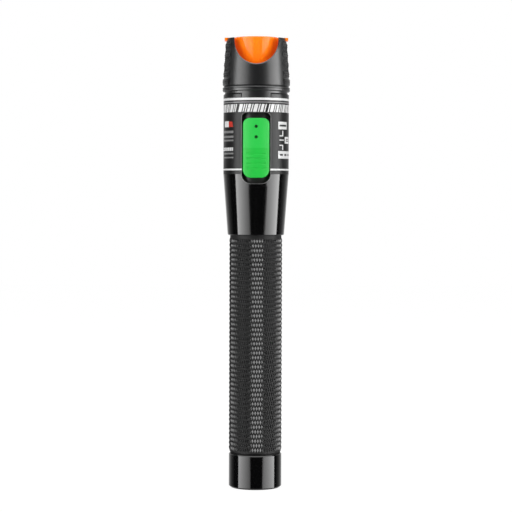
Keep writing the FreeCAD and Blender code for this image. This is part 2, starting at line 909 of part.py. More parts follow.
def make_ferrule_port():
    """Plated port: threaded shank, flange, and a nose that holds the split sleeve."""
    flange_foot = adapter_depth + neck_height
    top = flange_foot + port_height
    sleeve_top = top - port_lip
    sleeve_foot = sleeve_top - sleeve_length - 2 * touch_gap
    bore = sleeve_radius + touch_gap
    port = turned("FerrulePort", [
        (beam_radius, 0),
        (port_thread_radius, 0),
        (port_thread_radius, flange_foot),
        (port_flange_radius, flange_foot),
        (port_flange_radius, flange_foot + port_flange_height),
        (port_radius, flange_foot + port_flange_height),
        (port_radius, top - edge_break),
        (port_radius - edge_break, top),
        (mouth_radius + edge_break, top),
        (mouth_radius, top - edge_break),
        (mouth_radius, sleeve_top),
        (bore, sleeve_top),
        (bore, sleeve_foot),
        (beam_radius, sleeve_foot),
    ], z=port_foot)
    finish(port, "ferrule_port")


def make_split_sleeve():
    """Zirconia sleeve that grips a 2.5 mm ferrule, slit along its back."""
    foot = port_top - port_lip - touch_gap - sleeve_length
    tube = turned("SleeveTube", [
        (sleeve_bore, 0),
        (sleeve_radius, 0),
        (sleeve_radius, sleeve_length),
        (sleeve_bore, sleeve_length),
    ], z=foot)
    slit = block("SleeveSlit", sleeve_slit, 2 * sleeve_radius, 2 * sleeve_length,
                 (0, 0, foot - sleeve_length / 2), corner=(False, True, True))
    finish(cut("SplitSleeve", tube, slit), "split_sleeve")


laser_foot = board_foot + board_length + laser_rise
laser_length = adapter_foot - laser_foot
lens_foot = laser_length - laser_nose - lens_thickness - lens_ring_height


def make_laser_housing():
    """Brass housing under the adapter base, stepped for the diode, lens and ring."""
    lens_seat = laser_length - laser_nose
    housing = turned("LaserHousing", [
        (diode_radius + seat_gap, 0),
        (laser_radius, 0),
        (laser_radius, laser_length),
        (beam_radius, laser_length),
        (beam_radius, lens_seat),
        (lens_radius + seat_gap, lens_seat),
        (lens_radius + seat_gap, diode_flange + seat_gap),
        (diode_radius + seat_gap, diode_flange + seat_gap),
    ], z=laser_foot)
    finish(housing, "laser_housing")


def make_laser_diode():
    """Laser diode can with its window end up and three leads down to the board."""
    lead_length = laser_rise - touch_gap
    can = turned("DiodeCan", [
        (0, 0),
        (diode_radius, 0),
        (diode_radius, diode_flange),
        (can_radius, diode_flange),
        (can_radius, diode_flange + can_height),
        (0, diode_flange + can_height),
    ], z=laser_foot)
    leads = []
    for number in range(3):
        turn = math.radians(90 * number)
        leads.append(rod(f"DiodeLead{number}", lead_radius, lead_length,
                         lead_circle * math.cos(turn), lead_circle * math.sin(turn),
                         laser_foot - lead_length))
    finish(fuse("LaserDiode", [can] + leads), "laser_diode")


def make_focus_lens():
    """Plano-convex lens: a disc under a spherical cap, flat side up."""
    disc = rod("LensDisc", lens_radius, lens_thickness, z=laser_foot + lens_foot + lens_ring_height)
    ball = doc.addObject("Part::Sphere", "LensBall")
    ball.Radius = lens_curve.value
    bind(ball, "Radius", lens_curve)
    place(ball, z=laser_foot + lens_foot + lens_ring_height + lens_curve)
    finish(common("FocusLens", disc, ball), "focus_lens")


def make_lens_ring():
    """Threaded ring that holds the lens against its seat."""
    ring = turned("LensRing", [
        (beam_radius + seat_gap, 0),
        (lens_radius, 0),
        (lens_radius, lens_ring_height),
        (beam_radius + seat_gap, lens_ring_height),
    ], z=laser_foot + lens_foot)
    finish(ring, "lens_ring")


# ---------------------------------------------------------------- head guard and dust cap

def u_prism(name, half_width, depth, z, reach):
    """A prism along Y: a half-ellipse below z, and straight sides above it."""
    a, b = as_size(half_width).value, as_size(depth).value
    middle, length = z.value, reach.value
    weight = math.sqrt(0.5)
    left, foot, right = Vector(-a, -length, middle), Vector(0, -length, middle - b), Vector(a, -length, middle)
    curves = []
    for start, end in ((left, foot), (foot, right)):
        corner = Vector((start + end).x, -length, middle - b)
        quarter = Part.BezierCurve()
        quarter.setPoles([start, corner, end])
        quarter.setWeight(2, weight)
        curves.append(quarter.toShape())
    high = Vector(0, 0, length)
    sides = Part.makePolygon([right, right + high, left + high, left])
    outline = Part.Wire(curves + sides.Edges)
    prism = doc.addObject("Part::Feature", name)
    prism.Shape = Part.Face(outline).extrude(Vector(0, 2 * length, 0))
    return prism


def guard_radius(height):
    """Radius of the guard's smooth cone at a height above the barrel."""
    cone_foot = guard_lip_height + guard_ring_height + guard_groove
    slope = (guard_top_radius - guard_base_radius) / (guard_height - cone_foot)
    return guard_base_radius + slope * (height - cone_foot)


def guard_grip_outlines():
    """Outlines of the band and the ribs that stand out of the guard's sides."""
    cone_foot = guard_lip_height + guard_ring_height + guard_groove
    sunk = 2 * guard_rib_height
    band_top = cone_foot + grip_band_height
    rib_pitch = (guard_height - guard_rib_margin - band_top) / RIB_COUNT
    outlines = [[
        (guard_radius(cone_foot) - sunk, cone_foot),
        (guard_ring_radius - edge_break, cone_foot),
        (guard_ring_radius, cone_foot + edge_break),
        (guard_ring_radius, band_top - edge_break),
        (guard_radius(band_top), band_top),
        (guard_radius(band_top) - sunk, band_top),
    ]]
    for step in range(RIB_COUNT):
        middle = band_top + rib_pitch / 2 + step * rib_pitch
        low, high = middle - guard_rib_base / 2, middle + guard_rib_base / 2
        crest_low, crest_high = middle - guard_rib_crest / 2, middle + guard_rib_crest / 2
        outlines.append([
            (guard_radius(low) - sunk, low),
            (guard_radius(low), low),
            (guard_radius(crest_low) + guard_rib_height, crest_low),
            (guard_radius(crest_high) + guard_rib_height, crest_high),
            (guard_radius(high), high),
            (guard_radius(high) - sunk, high),
        ])
    return outlines


def make_head_guard():
    """Moulded guard: ring and cone, ribbed sides, finger scallops, tab notches and a key."""
    ring_top = guard_lip_height + guard_ring_height
    line_top = ring_top - guard_line_drop
    cone_foot = ring_top + guard_groove
    floor = neck_height + seat_gap
    shell = doc.addObject("PartDesign::Body", "GuardShell")
    revolve(shell, [[
        (neck_radius + seat_gap, 0),
        (guard_lip_radius, 0),
        (guard_lip_radius, guard_lip_height),
        (guard_ring_radius - edge_break, guard_lip_height),
        (guard_ring_radius, guard_lip_height + edge_break),
        (guard_ring_radius, line_top - guard_line_width),
        (guard_ring_radius - guard_line_depth, line_top - guard_line_width / 2),
        (guard_ring_radius, line_top),
        (guard_ring_radius, ring_top - edge_break),
        (guard_ring_radius - edge_break, ring_top),
        (guard_ring_radius - guard_groove_depth, ring_top + guard_groove / 2),
        (guard_base_radius, cone_foot),
        (guard_top_radius, guard_height),
        (guard_mouth_radius, guard_height),
        (guard_mouth_radius, floor),
        (neck_radius + seat_gap, floor),
    ]])
    grips = revolve(shell, guard_grip_outlines(), grip_angle)
    doc.recompute()
    both = shell.newObject("PartDesign::PolarPattern", "BothSides")
    both.Originals = [grips]
    both.Axis = (origin_plane_axis(shell), [""])
    both.Angle = 360
    both.Occurrences = 2
    shell.Tip = both
    place(shell, z=barrel_top)
    key = turned("GuardKey", [
        (cavity_radius + run_gap, 0),
        (barrel_radius, 0),
        (barrel_radius, key_length + guard_lip_height + edge_break),
        (cavity_radius + run_gap, key_length + guard_lip_height + edge_break),
    ], z=barrel_top - key_length, angle=key_angle, rotation=TO_FRONT)
    scallops = u_prism("Scallops", scallop_width / 2, scallop_depth, scallop_centre,
                       2 * guard_ring_radius)
    notch_width = tab_width + 2 * run_gap
    notches = block("TabNotches", 4 * guard_ring_radius, notch_width, 2 * notch_depth,
                    (0, 0, guard_top - notch_depth), corner=(False, False, True))
    guard = cut("GuardCut", fuse("GuardJoined", [shell, key]), fuse("GuardCutters", [scallops, notches]))

    def scallop_rim(edge):
        points = [edge.valueAt(edge.FirstParameter + share * (edge.LastParameter - edge.FirstParameter))
                  for share in (0.05, 0.5, 0.95)]
        return all(on_u(point, scallop_width.value / 2, scallop_depth.value, scallop_centre.value)
                   and radius_at(point) > guard_radius(guard_height).value - 0.05 for point in points)

    finish(bevel_edges("HeadGuard", guard, scallop_bevel, scallop_rim), "head_guard")


def origin_plane_axis(body):
    return next(item for item in body.Origin.OriginFeatures if item.Role == "Z_Axis")


def on_u(point, half_width, depth, middle):
    """Whether a point lies on the outline that u_prism draws."""
    if point.z >= middle:
        return abs(abs(point.x) - half_width) < 1e-3
    share = (point.x / half_width) ** 2 + ((point.z - middle) / depth) ** 2
    return abs(share - 1) < 1e-3


def make_dust_cap():
    """Tapered stopper with a socket over the port's nose, a dished top and a tab at each side."""
    socket = port_radius + socket_gap
    roof = port_top + run_gap - cap_foot
    dish_radius = plug_top_radius - cap_rim
    plug = turned("CapPlug", [
        (socket, 0),
        (plug_foot_radius, 0),
        (plug_top_radius, cap_height - cap_bevel),
        (plug_top_radius - cap_bevel, cap_height),
        (dish_radius, cap_height),
        (dish_radius - cap_dish, cap_height - cap_dish),
        (0, cap_height - cap_dish),
        (0, roof),
        (socket, roof),
    ], z=cap_foot)
    tab_foot = guard_top - notch_depth + touch_gap
    bar = block("TabBar", 2 * tab_reach, tab_width, tab_height, (0, 0, tab_foot),
                corner=(False, False, True))
    room = rod("TabRoom", dish_radius, 2 * cap_height, z=cap_foot)
    finish(fuse("DustCap", [plug, cut("Tabs", bar, room)]), "dust_cap")


# ---------------------------------------------------------------- assembly and files

def build():
    make_tail_cap()
    make_tail_contact()
    make_tail_spring()
    make_cell("CellLower", "battery_lower", cell_foot)
    make_cell("CellUpper", "battery_upper", cell_foot + cell_length)
    make_battery_tube()
    make_o_ring("TailRing", "tail_o_ring", tail_cap_length - ring_offset - groove_width / 2)
    make_o_ring("HeadRing", "head_o_ring", barrel_foot + ring_offset + groove_width / 2)
    slot = make_slot_cutter()
    make_barrel(slot)
    make_label(slot)
    make_contact_holder()
    make_positive_contact()
    make_ground_clip()
    make_board()
    make_carrier()
    make_carrier_screws()
    make_driver_chip()
    make_trimmer()
    make_capacitors()
    make_switch_body()
    make_switch_lever()
    make_slide_base()
    make_slide_button()
    make_adapter_base()
    make_ferrule_port()
    make_split_sleeve()
    make_laser_housing()
    make_laser_diode()
    make_focus_lens()
    make_lens_ring()
    make_head_guard()
    make_dust_cap()
    doc.recompute()


def check():
    """Stop if any object failed, or any sub-part's shape is missing or broken."""
    for obj in doc.Objects:
        for state in ("Invalid", "Error"):
            if state in obj.State:
                raise RuntimeError(f"{obj.Name} ({obj.Label}) failed: {obj.State}")
    for obj in parts:
        shape = obj.Shape
        if shape.isNull() or not shape.isValid() or not shape.Solids:
            raise RuntimeError(f"{obj.Label} has no valid solid")


def write():
    os.makedirs("parts", exist_ok=True)
    for obj in parts:
        obj.Shape.exportStep(f"parts/{obj.Label}.step")
        print(f"{obj.Label}: {len(obj.Shape.Solids)} solid(s), {obj.Shape.Volume:.1f} mm3")


build()
check()
write()
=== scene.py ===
"""Looks of the pen-type visual fault locator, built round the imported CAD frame. Metres."""

import math

import bpy
from mathutils import Matrix, Vector
from mathutils.bvhtree import BVHTree


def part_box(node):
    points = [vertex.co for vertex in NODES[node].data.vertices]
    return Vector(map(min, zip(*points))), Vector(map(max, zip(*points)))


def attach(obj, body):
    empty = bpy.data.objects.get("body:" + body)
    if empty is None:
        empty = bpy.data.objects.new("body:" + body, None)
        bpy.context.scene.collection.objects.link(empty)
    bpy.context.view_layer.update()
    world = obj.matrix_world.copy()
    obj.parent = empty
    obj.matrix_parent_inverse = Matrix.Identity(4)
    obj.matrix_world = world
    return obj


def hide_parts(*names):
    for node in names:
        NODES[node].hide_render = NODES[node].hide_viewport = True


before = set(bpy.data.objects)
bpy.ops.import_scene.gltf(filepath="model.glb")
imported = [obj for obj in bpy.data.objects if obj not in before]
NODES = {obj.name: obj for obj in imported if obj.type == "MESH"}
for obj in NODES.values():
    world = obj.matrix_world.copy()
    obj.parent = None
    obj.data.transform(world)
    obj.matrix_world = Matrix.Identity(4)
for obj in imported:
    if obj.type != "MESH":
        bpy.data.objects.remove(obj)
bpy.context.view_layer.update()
MM = 0.001
SHARP_ANGLE = math.radians(30)
RAY_START = 0.05


# ---------------------------------------------------------------- sizes read from the frame

def top(node):
    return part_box(node)[1].z


def foot(node):
    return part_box(node)[0].z


def reach(node):
    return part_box(node)[1].x


def points(node):
    """A node's vertices as (radius, height) in the shared frame."""
    matrix = NODES[node].matrix_world
    found = [matrix @ v.co for v in NODES[node].data.vertices]
    return [(math.hypot(p.x, p.y), p.z) for p in found]


def far_radius(node, low, high):
    """Largest radius of a node between two heights."""
    return max(r for r, z in points(node) if low <= z <= high)


BARREL_FOOT = foot("barrel")
BARREL_TOP = top("barrel")
BARREL_R = reach("barrel")
LABEL_TOP = top("label_wrap")
TUBE_R = reach("battery_tube")
TUBE_FOOT = foot("battery_tube")
TUBE_TOP = top("battery_tube")
CAP_TOP = top("tail_cap")
BUTTON_FOOT = foot("slide_button")
BUTTON_TOP = top("slide_button")
SLIDE_TRAVEL = 1.95 * MM
SLOT_SIDE_GAP = 0.3 * MM
SLOT_HALF = reach("slide_button") + SLOT_SIDE_GAP
SLOT_FOOT = BUTTON_FOOT - SLIDE_TRAVEL
SLOT_TOP = BUTTON_TOP + SLIDE_TRAVEL
SLOT_FOOT_CORNER = 3.4 * MM
SLOT_TOP_CORNER = 1.6 * MM
RIM_NEAR = 0.02 * MM
# Read from the part of the tube that stands inside the tail cap.
SPIGOT_R = far_radius("battery_tube", TUBE_FOOT - 0.1 * MM, CAP_TOP - 3 * MM)


# ---------------------------------------------------------------- node materials

def shader(name, colour, roughness=0.4, metallic=0.0, **sockets):
    """A new material with a Principled shader; returns it with its node tree and shader node."""
    material = bpy.data.materials.new(name)
    material.use_nodes = True
    tree = material.node_tree
    principled = tree.nodes["Principled BSDF"]
    principled.inputs["Base Color"].default_value = (*colour, 1)
    principled.inputs["Roughness"].default_value = roughness
    principled.inputs["Metallic"].default_value = metallic
    for socket, value in sockets.items():
        principled.inputs[socket.replace("_", " ")].default_value = value
    return material, tree, principled


def noise(tree, scale, detail=3.0, stretch=(1, 1, 1)):
    """Noise over object coordinates, stretched along an axis where asked."""
    place = tree.nodes.new("ShaderNodeTexCoord")
    mapping = tree.nodes.new("ShaderNodeMapping")
    mapping.inputs["Scale"].default_value = stretch
    texture = tree.nodes.new("ShaderNodeTexNoise")
    texture.inputs["Scale"].default_value = scale
    texture.inputs["Detail"].default_value = detail
    tree.links.new(place.outputs["Object"], mapping.inputs["Vector"])
    tree.links.new(mapping.outputs["Vector"], texture.inputs["Vector"])
    return texture.outputs["Fac"]


def spread(tree, value, low, high):
    """Map a 0..1 value to a range."""
    node = tree.nodes.new("ShaderNodeMapRange")
    node.inputs["To Min"].default_value = low
    node.inputs["To Max"].default_value = high
    tree.links.new(value, node.inputs["Value"])
    return node.outputs["Result"]


def bump(tree, principled, height, distance, strength=1.0):
    node = tree.nodes.new("ShaderNodeBump")
    node.inputs["Distance"].default_value = distance
    node.inputs["Strength"].default_value = strength
    tree.links.new(height, node.inputs["Height"])
    tree.links.new(node.outputs["Normal"], principled.inputs["Normal"])


def tint(tree, principled, value, dark, light):
    """Base colour between two colours by a 0..1 value."""
    mix = tree.nodes.new("ShaderNodeMix")
    mix.data_type = "RGBA"
    mix.inputs["A"].default_value = (*dark, 1)
    mix.inputs["B"].default_value = (*light, 1)
    tree.links.new(value, mix.inputs["Factor"])
    tree.links.new(mix.outputs["Result"], principled.inputs["Base Color"])


def surface(name, colour, roughness, metallic=0.0, vary=0.15, rough_vary=0.05, scale=900.0,
            depth=0.0, stretch=(1, 1, 1), **sockets):
    """A material with a little colour and roughness variation and an optional fine bump."""
    material, tree, principled = shader(name, colour, roughness, metallic, **sockets)
    value = noise(tree, scale, stretch=stretch)
    dark = tuple(c * (1 - vary) for c in colour)
    light = tuple(min(1.0, c * (1 + vary)) for c in colour)
    tint(tree, principled, value, dark, light)
    rough = spread(tree, value, max(0.01, roughness - rough_vary), roughness + rough_vary)
    tree.links.new(rough, principled.inputs["Roughness"])
    if depth:
        bump(tree, principled, value, depth)
    return material


GLOSS_BLACK = surface("gloss_black", (0.0024, 0.0024, 0.0026), 0.09, vary=0.2, rough_vary=0.02,
                      scale=400, IOR=1.6)
TUBE_BLACK = surface("tube_black", (0.006, 0.006, 0.0065), 0.16, vary=0.3, rough_vary=0.04,
                     scale=1500, IOR=1.65)
GUARD_BLACK = surface("guard_black", (0.009, 0.0095, 0.01), 0.34, vary=0.25, rough_vary=0.05,
                      scale=2600, depth=0.00001, IOR=1.8)
# Painted glow: the emission makes the cap give out light though it is no lamp, standing in for light passing
# through the translucent plastic.
CAP_ORANGE_PAINTED_GLOW = surface("cap_orange", (1.0, 0.26, 0.006), 0.18, vary=0.05, rough_vary=0.03, scale=300,
                     IOR=1.45, Subsurface_Weight=0.4, Subsurface_Radius=(1.0, 0.12, 0.02),
                     Subsurface_Scale=0.004, Emission_Color=(1.0, 0.08, 0.006, 1.0),
                     Emission_Strength=0.44)
# Painted shade: a dark matt black on the knurl's root and on the feet of its lozenges, standing for the
# shade in the grooves.
GROOVE_PAINTED_SHADE = surface("groove_painted_shade", (0.012, 0.012, 0.012), 0.55, vary=0.3, scale=2500,
                       Specular_IOR_Level=0.3)
# Painted shade: a still darker matt black on the neck below the knurl and in a strip along the slot's edge.
DEEP_PAINTED_SHADE = surface("deep_painted_shade", (0.004, 0.004, 0.004), 0.6, vary=0.3, scale=2500,
                     Specular_IOR_Level=0.15)
GRIP_BLACK = surface("grip_black", (0.008, 0.008, 0.0085), 0.45, vary=0.25, scale=2600,
                     Specular_IOR_Level=0.3)
BUTTON_GREEN = surface("button_green", (0.009, 0.55, 0.05), 0.4, vary=0.04, rough_vary=0.03,
                       scale=900, depth=0.000004, IOR=1.48)
# Painted light: a lighter copy of the button's green, laid on its upper half.
BUTTON_PAINTED_LIGHT = surface("button_painted_light", (0.02, 0.6, 0.07), 0.4, vary=0.04, rough_vary=0.03,
                       scale=900, depth=0.000004, IOR=1.48)
BASE_GREY = surface("base_grey", (0.035, 0.035, 0.038), 0.5, scale=2000, depth=0.00001)
NICKEL = surface("nickel", (0.72, 0.7, 0.66), 0.22, 1.0, vary=0.05, scale=600)
BRASS = surface("brass", (0.78, 0.56, 0.25), 0.28, 1.0, vary=0.08, scale=600, stretch=(1, 1, 8))
STEEL = surface("steel", (0.6, 0.6, 0.62), 0.25, 1.0, vary=0.08, scale=700)
ZIRCONIA = surface("zirconia", (0.86, 0.86, 0.82), 0.15, vary=0.02, scale=500)
CELL_WRAP = surface("cell_wrap", (0.12, 0.12, 0.14), 0.3, 0.4, vary=0.1, scale=300)
BOARD_GREEN = surface("board_green", (0.02, 0.18, 0.07), 0.3, vary=0.2, scale=1500)
CHIP_BLACK = surface("chip_black", (0.02, 0.02, 0.02), 0.5, scale=2500, depth=0.00001)
CHIP_TAN = surface("chip_tan", (0.42, 0.3, 0.18), 0.5, scale=1500)
TRIM_BLUE = surface("trim_blue", (0.03, 0.14, 0.5), 0.35, scale=900)
RUBBER = surface("rubber", (0.015, 0.015, 0.015), 0.6, scale=1500, depth=0.00001)
LENS = surface("lens_glass", (0.9, 0.95, 1.0), 0.03, vary=0.01, rough_vary=0.01, IOR=1.5,
               Transmission_Weight=1.0)
COLLAR_BLACK = surface("collar_black", (0.009, 0.0095, 0.01), 0.32, vary=0.2, scale=2600, IOR=1.5)
WHITE_INK = surface("white_ink", (0.82, 0.82, 0.82), 0.35, vary=0.04, scale=1500)
GREY_INK = surface("grey_ink", (0.3, 0.3, 0.3), 0.35, vary=0.1, scale=2500)
BLACK_INK = surface("black_ink", (0.012, 0.012, 0.012), 0.35, vary=0.1, scale=1500)
RED_INK = surface("red_ink", (0.55, 0.03, 0.015), 0.35, vary=0.06, scale=1500)
# Painted shade: a dark green laid as discs in the slider's dimples.
DIMPLE_PAINTED_SHADE = surface("dimple_painted_shade", (0.004, 0.045, 0.008), 0.5, vary=0.1, scale=1500)
LABEL_FILM = surface("label_film", (0.01, 0.01, 0.0105), 0.36, vary=0.35, rough_vary=0.05,
                     scale=5000, depth=0.000006, IOR=1.36)
BASE_BLACK = surface("base_black", (0.022, 0.022, 0.022), 0.3, scale=2000, depth=0.00001)

SLOT_WALL = surface("slot_wall", (0.04, 0.04, 0.041), 0.45, vary=0.15, scale=2000)
# Painted highlight: a pale grey strip round the slot, standing for light caught on its bevel.
RIM_PAINTED_HIGHLIGHT = surface("rim_painted_highlight", (0.15, 0.15, 0.15), 0.35, vary=0.1, scale=2500)

CAD_LOOKS = {
    "battery_lower": CELL_WRAP, "battery_upper": CELL_WRAP, "tail_o_ring": RUBBER,
    "head_o_ring": RUBBER, "contact_holder": BASE_GREY, "positive_contact": NICKEL,
    "ground_clip": STEEL, "circuit_board": BOARD_GREEN, "board_carrier": BASE_GREY,
    "carrier_screws": STEEL, "driver_chip": CHIP_BLACK, "power_trimmer": TRIM_BLUE,
    "board_capacitors": CHIP_TAN, "switch_body": STEEL, "switch_lever": CHIP_BLACK,
    "slide_base": BASE_BLACK, "adapter_base": NICKEL, "ferrule_port": NICKEL,
    "split_sleeve": ZIRCONIA, "laser_housing": BRASS, "laser_diode": BRASS, "focus_lens": LENS,
    "lens_ring": BRASS, "tail_contact": NICKEL, "tail_spring": STEEL, "head_guard": GUARD_BLACK,
    "dust_cap": CAP_ORANGE_PAINTED_GLOW, "slide_button": BUTTON_GREEN, "label_wrap": LABEL_FILM,
    "barrel": GLOSS_BLACK, "tail_cap": GLOSS_BLACK, "battery_tube": TUBE_BLACK,
}
for node, look in CAD_LOOKS.items():
    data = NODES[node].data
    data.materials.clear()
    data.materials.append(look)


COLLAR_MARGIN = 0.02 * MM
WALL_LEAN = 0.5


def finish_faces(node, look, chosen):
    """A further finish on those faces of a node that are chosen by their centre and normal."""
    solid = NODES[node]
    solid.data.materials.append(look)
    index = len(solid.data.materials) - 1
    for polygon in solid.data.polygons:
        place = solid.matrix_world @ polygon.center
        facing = solid.matrix_world.to_3x3() @ polygon.normal
        if chosen(place, facing.normalized()):
            polygon.material_index = index


def on_collar(place, facing):
    """Above the label film."""
    return place.z > LABEL_TOP + COLLAR_MARGIN


def on_slot_wall(place, facing):
    """Inside the slot's outline at the front, and facing along it instead of outwards."""
    return (place.y < 0 and abs(facing.y) < WALL_LEAN and abs(place.x) < SLOT_HALF + RIM_NEAR
            and SLOT_FOOT - RIM_NEAR < place.z < SLOT_TOP + RIM_NEAR)


def on_upper_button(place, facing):
    """In the upper half of the button, which takes the painted lighter green."""
    return place.z > (BUTTON_FOOT + BUTTON_TOP) / 2


finish_faces("barrel", COLLAR_BLACK, on_collar)
finish_faces("barrel", SLOT_WALL, on_slot_wall)
finish_faces("slide_button", BUTTON_PAINTED_LIGHT, on_upper_button)


# ---------------------------------------------------------------- mesh building

def new_piece(name, vertices, faces, material, body, slot, *replaced):
    """A mesh object that rides on a body and stands for the named CAD nodes."""
    mesh = bpy.data.meshes.new(name)
    mesh.from_pydata(vertices, [], faces)
    mesh.validate()
    for polygon in mesh.polygons:
        polygon.use_smooth = True
    materials = material if isinstance(material, (list, tuple)) else [material]
    for item in materials:
        mesh.materials.append(item)
    piece = bpy.data.objects.new(name, mesh)
    bpy.context.scene.collection.objects.link(piece)
    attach(piece, body)
    if replaced:
        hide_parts(*replaced)
    return piece


def lathe(outline, segments):
    """Vertices and quads of a closed (r, z) outline turned about Z."""
    vertices, faces = [], []
    for step in range(segments):
        angle = 2 * math.pi * step / segments
        vertices += [(r * math.cos(angle), r * math.sin(angle), z) for r, z in outline]
    size = len(outline)
    for step in range(segments):
        this, following = step * size, ((step + 1) % segments) * size
        for i in range(size):
            j = (i + 1) % size
            faces.append((this + i, following + i, following + j, this + j))
    return vertices, faces


def skin(node):
    """A ray-casting tree of a CAD node in the shared frame."""
    solid = NODES[node]
    corners = [solid.matrix_world @ vertex.co for vertex in solid.data.vertices]
    return BVHTree.FromPolygons(corners, [tuple(face.vertices) for face in solid.data.polygons])


# ---------------------------------------------------------------- floor, camera and light

CAMERA_DISTANCE = 0.700
CAMERA_HEIGHT = 0.1156
AIM_HEIGHT = 0.0899
LENS_MM = 126.7
CAMERA_SIDE = 0.0001
CAMERA_ROLL = math.radians(0.19)
CAMERA_CLIP_NEAR = 0.01
CAMERA_CLIP_FAR = 20
FLOOR_HALF = 1.5
FLOOR_DROP = 0.0002
FLOOR_GLOW = 1.09
FLOOR_GLOW_SHARE = 0.88


def add_camera():
    data = bpy.data.cameras.new("Camera")
    data.lens = LENS_MM
    data.clip_start = CAMERA_CLIP_NEAR
    data.clip_end = CAMERA_CLIP_FAR
    camera = bpy.data.objects.new("Camera", data)
    camera.location = (CAMERA_SIDE, -CAMERA_DISTANCE, CAMERA_HEIGHT)
    aim = Vector((CAMERA_SIDE, 0, AIM_HEIGHT)) - camera.location
    turned = aim.to_track_quat("-Z", "Y").to_matrix() @ Matrix.Rotation(CAMERA_ROLL, 3, "Z")
    camera.rotation_euler = turned.to_euler()
    bpy.context.scene.collection.objects.link(camera)
    bpy.context.scene.camera = camera


def camera_or_glass(tree, path):
    """1 for rays from the camera and for those that clear pieces let through, else 0."""
    either = tree.nodes.new("ShaderNodeMath")
    either.operation = "MAXIMUM"
    tree.links.new(path.outputs["Is Camera Ray"], either.inputs[0])
    tree.links.new(path.outputs["Is Transmission Ray"], either.inputs[1])
    return either.outputs[0]


def flat_square(name, half, back, height):
    """A level square mesh, its middle at a distance behind the object and a height."""
    mesh = bpy.data.meshes.new(name)
    mesh.from_pydata([(-half, back - half, height), (half, back - half, height),
                      (half, back + half, height), (-half, back + half, height)], [],
                     [(0, 1, 2, 3)])
    return mesh


def add_floor():
    """A plain pale floor that keeps the object's shadow and that reflections don't see."""
    mesh = flat_square("floor", FLOOR_HALF, 0, 0)
    floor = bpy.data.objects.new("floor", mesh)
    floor.location.z = -FLOOR_DROP
    bpy.context.scene.collection.objects.link(floor)
    material, tree, principled = shader("floor_white", (0.9, 0.9, 0.9), 0.9)
    principled.inputs["Specular IOR Level"].default_value = 0.0
    output = tree.nodes["Material Output"]
    glow = tree.nodes.new("ShaderNodeEmission")
    glow.inputs["Color"].default_value = (1, 1, 1, 1)
    glow.inputs["Strength"].default_value = FLOOR_GLOW
    path = tree.nodes.new("ShaderNodeLightPath")
    mix = tree.nodes.new("ShaderNodeMixShader")
    scale = tree.nodes.new("ShaderNodeMath")
    scale.operation = "MULTIPLY"
    scale.inputs[1].default_value = FLOOR_GLOW_SHARE
    tree.links.new(camera_or_glass(tree, path), scale.inputs[0])
    tree.links.new(scale.outputs[0], mix.inputs["Fac"])
    tree.links.new(principled.outputs[0], mix.inputs[1])
    tree.links.new(glow.outputs[0], mix.inputs[2])
    tree.links.new(mix.outputs[0], output.inputs["Surface"])
    mesh.materials.append(material)
    floor.visible_glossy = False


# How bright reflections find the room: (place from front 0 to back 1, level).
ROOM_STOPS = ((0.0, 0.015), (0.6, 0.02), (0.74, 0.2), (0.87, 0.55), (0.97, 1.0))
LOW_GLOW_START = -0.6
LOW_GLOW_FULL = -0.85
LOW_GLOW_LEVEL = 0.4
FILL_LEVEL = 0.32


def white_background(tree):
    """A white background shader, at the level 1."""
    background = tree.nodes.new("ShaderNodeBackground")
    background.inputs["Color"].default_value = (1, 1, 1, 1)
    return background


def add_room_ramp(tree):
    """A colour ramp with the levels of ROOM_STOPS."""
    ramp = tree.nodes.new("ShaderNodeValToRGB")
    ramp.color_ramp.interpolation = "EASE"
    elements = ramp.color_ramp.elements
    for index, (position, level) in enumerate(ROOM_STOPS):
        element = elements[index] if index < 2 else elements.new(position)
        element.position = position
        element.color = (level, level, level, 1)
    return ramp


def add_world():
    """White to the camera and through glass, soft fill for matt surfaces, and for reflections a
    room that is pale behind, dark in front and a little lighter below."""
    world = bpy.data.worlds.new("Studio")
    bpy.context.scene.world = world
    world.use_nodes = True
    tree = world.node_tree
    tree.nodes.clear()
    output = tree.nodes.new("ShaderNodeOutputWorld")
    path = tree.nodes.new("ShaderNodeLightPath")
    place = tree.nodes.new("ShaderNodeTexCoord")
    split = tree.nodes.new("ShaderNodeSeparateXYZ")
    ramp = add_room_ramp(tree)
    half = tree.nodes.new("ShaderNodeMapRange")
    half.inputs["From Min"].default_value = -1
    half.inputs["From Max"].default_value = 1
    tree.links.new(place.outputs["Generated"], split.inputs[0])
    tree.links.new(split.outputs["Y"], half.inputs["Value"])
    tree.links.new(half.outputs["Result"], ramp.inputs["Fac"])
    below = tree.nodes.new("ShaderNodeMapRange")
    below.interpolation_type = "SMOOTHSTEP"
    below.inputs["From Min"].default_value = LOW_GLOW_START
    below.inputs["From Max"].default_value = LOW_GLOW_FULL
    below.inputs["To Max"].default_value = LOW_GLOW_LEVEL
    tree.links.new(split.outputs["Z"], below.inputs["Value"])
    room = tree.nodes.new("ShaderNodeMath")
    room.operation = "ADD"
    tree.links.new(ramp.outputs["Color"], room.inputs[0])
    tree.links.new(below.outputs["Result"], room.inputs[1])
    seen = white_background(tree)
    mirrored = tree.nodes.new("ShaderNodeBackground")
    tree.links.new(room.outputs[0], mirrored.inputs["Strength"])
    fill = white_background(tree)
    fill.inputs["Strength"].default_value = FILL_LEVEL
    glossy_mix = tree.nodes.new("ShaderNodeMixShader")
    camera_mix = tree.nodes.new("ShaderNodeMixShader")
    tree.links.new(path.outputs["Is Glossy Ray"], glossy_mix.inputs["Fac"])
    tree.links.new(fill.outputs[0], glossy_mix.inputs[1])
    tree.links.new(mirrored.outputs[0], glossy_mix.inputs[2])
    tree.links.new(camera_or_glass(tree, path), camera_mix.inputs["Fac"])
    tree.links.new(glossy_mix.outputs[0], camera_mix.inputs[1])
    tree.links.new(seen.outputs[0], camera_mix.inputs[2])
    tree.links.new(camera_mix.outputs[0], output.inputs["Surface"])


